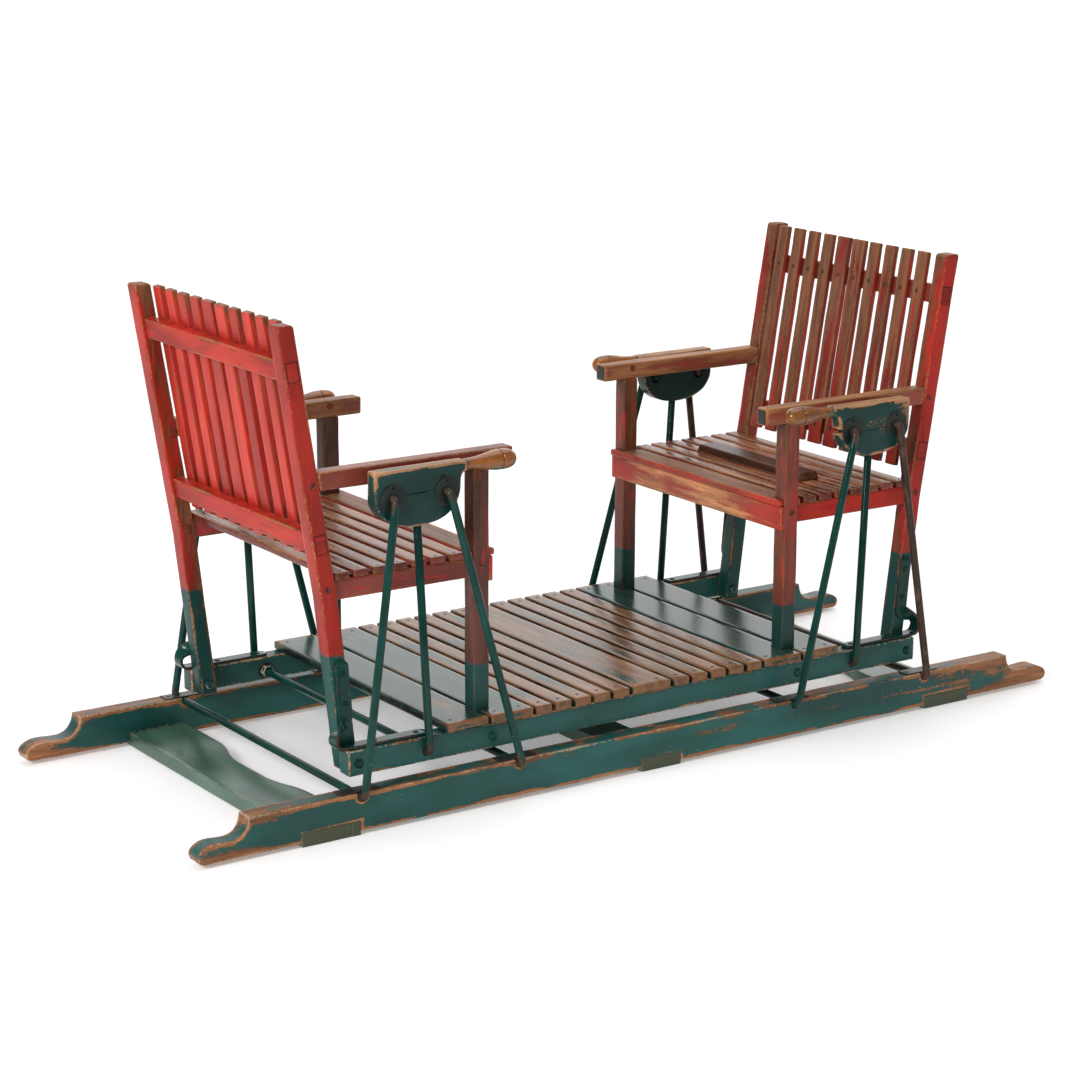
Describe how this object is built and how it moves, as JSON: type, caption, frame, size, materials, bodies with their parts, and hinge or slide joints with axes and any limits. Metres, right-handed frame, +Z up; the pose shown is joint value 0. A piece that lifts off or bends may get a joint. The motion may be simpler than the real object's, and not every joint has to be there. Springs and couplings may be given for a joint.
{
  "type": "platform glider bench",
  "caption": "Two facing slatted seats on a slatted platform that swings from rod bails on a base frame, rocked by hand levers beside the arms.",
  "frame": {"origin": "on the floor under the middle of the base frame", "axes": "+X along the base rails towards the right-hand seat, +Y from the near side to the far side, +Z up"},
  "size_m": [2.134, 0.7956, 0.9734],
  "materials": {
    "green_painted_wood": "worn green paint over bare brown wood",
    "board_wood": "worn green paint, faded",
    "red_painted_wood": "faded red paint, green below, worn to brown wood",
    "deck_wood": "grey-green paint worn to brown wood",
    "lever_wood": "green paint on the block, amber varnish on the handle",
    "dark_wood": "dark brown stain",
    "green_painted_iron": "green enamel, chipped",
    "worn_iron": "dark brown worn iron"
  },
  "bodies": {
    "base": {"base_rail_near": "green_painted_wood", "base_rail_far": "green_painted_wood", "cross_board_left": "board_wood", "cross_board_centre": "board_wood", "cross_board_right": "board_wood", "cross_board_filler": "board_wood", "keeper_near_left_outer": "worn_iron", "keeper_near_left_inner": "worn_iron", "keeper_near_right_outer": "worn_iron", "keeper_near_right_inner": "worn_iron", "keeper_far_left_outer": "worn_iron", "keeper_far_left_inner": "worn_iron", "keeper_far_right_outer": "worn_iron", "keeper_far_right_inner": "worn_iron"},
    "left_outer_bail": {"bail_left_outer": "green_painted_iron", "washer_near_left_outer": "worn_iron", "washer_far_left_outer": "worn_iron"},
    "left_inner_bail": {"bail_left_inner": "green_painted_iron", "washer_near_left_inner": "worn_iron", "washer_far_left_inner": "worn_iron"},
    "left_levers": {"hanger_left": "green_painted_iron", "lever_near_left": "lever_wood", "lever_far_left": "lever_wood"},
    "right_outer_bail": {"bail_right_outer": "worn_iron", "washer_near_right_outer": "worn_iron", "washer_far_right_outer": "worn_iron"},
    "right_inner_bail": {"bail_right_inner": "green_painted_iron", "washer_near_right_inner": "worn_iron", "washer_far_right_inner": "worn_iron"},
    "right_levers": {"hanger_right": "green_painted_iron", "lever_near_right": "lever_wood", "lever_far_right": "lever_wood"},
    "platform": {"collar_near_left": "worn_iron", "collar_near_right": "worn_iron", "collar_far_left": "worn_iron", "collar_far_right": "worn_iron", "brace_near_left": "green_painted_iron", "brace_near_right": "green_painted_iron", "brace_far_left": "green_painted_iron", "brace_far_right": "green_painted_iron", "deck_frame": "deck_wood", "seat_frame_left": "red_painted_wood", "seat_frame_right": "red_painted_wood", "apron_left": "red_painted_wood", "apron_right": "red_painted_wood", "back_panel_left": "red_painted_wood", "back_panel_right": "red_painted_wood", "front_post_near_left": "red_painted_wood", "front_post_near_right": "red_painted_wood", "front_post_far_left": "red_painted_wood", "front_post_far_right": "red_painted_wood", "back_post_near_left": "red_painted_wood", "back_post_near_right": "red_painted_wood", "back_post_far_left": "red_painted_wood", "back_post_far_right": "red_painted_wood", "arm_near_left": "red_painted_wood", "arm_near_right": "red_painted_wood", "arm_far_left": "red_painted_wood", "arm_far_right": "red_painted_wood", "spare_slat": "dark_wood"}
  },
  "joints": [
    {"name": "platform_swing", "type": "hinge", "parent": "base", "child": "left_outer_bail", "pos_m": [-0.704, 0, 0.0747], "axis": [0, -1, 0], "range_deg": [-5, 5]},
    {"name": "left_lever_pivot", "type": "hinge", "parent": "left_outer_bail", "child": "left_levers", "pos_m": [-0.617, 0, 0.637], "axis": [0, -1, 0], "range_deg": [-15.1, 15.1]},
    {"name": "platform_hang", "type": "hinge", "parent": "left_levers", "child": "platform", "pos_m": [-0.534, 0, 0.123], "axis": [0, -1, 0], "range_deg": [-10.9, 10.9]},
    {"name": "right_hanger_pivot", "type": "hinge", "parent": "platform", "child": "right_levers", "pos_m": [0.534, 0, 0.123], "axis": [0, -1, 0], "range_deg": [-10.9, 10.9]},
    {"name": "left_inner_swing", "type": "hinge", "parent": "base", "child": "left_inner_bail", "pos_m": [-0.346, 0, 0.0747], "axis": [0, -1, 0], "range_deg": [-5.1, 5.1]},
    {"name": "right_inner_swing", "type": "hinge", "parent": "base", "child": "right_inner_bail", "pos_m": [0.346, 0, 0.0747], "axis": [0, -1, 0], "range_deg": [-5.1, 5.1]},
    {"name": "right_outer_swing", "type": "hinge", "parent": "base", "child": "right_outer_bail", "pos_m": [0.704, 0, 0.0747], "axis": [0, -1, 0], "range_deg": [-5.1, 5.1]}
  ],
  "couplings": [
    {"joint": "left_lever_pivot", "follows": "platform_swing", "ratio": -3.0085},
    {"joint": "platform_hang", "follows": "platform_swing", "ratio": 2.1578},
    {"joint": "right_hanger_pivot", "follows": "platform_swing", "ratio": -2.1578},
    {"joint": "left_inner_swing", "follows": "platform_swing", "ratio": 1},
    {"joint": "right_inner_swing", "follows": "platform_swing", "ratio": 1},
    {"joint": "right_outer_swing", "follows": "platform_swing", "ratio": 1}
  ]
}
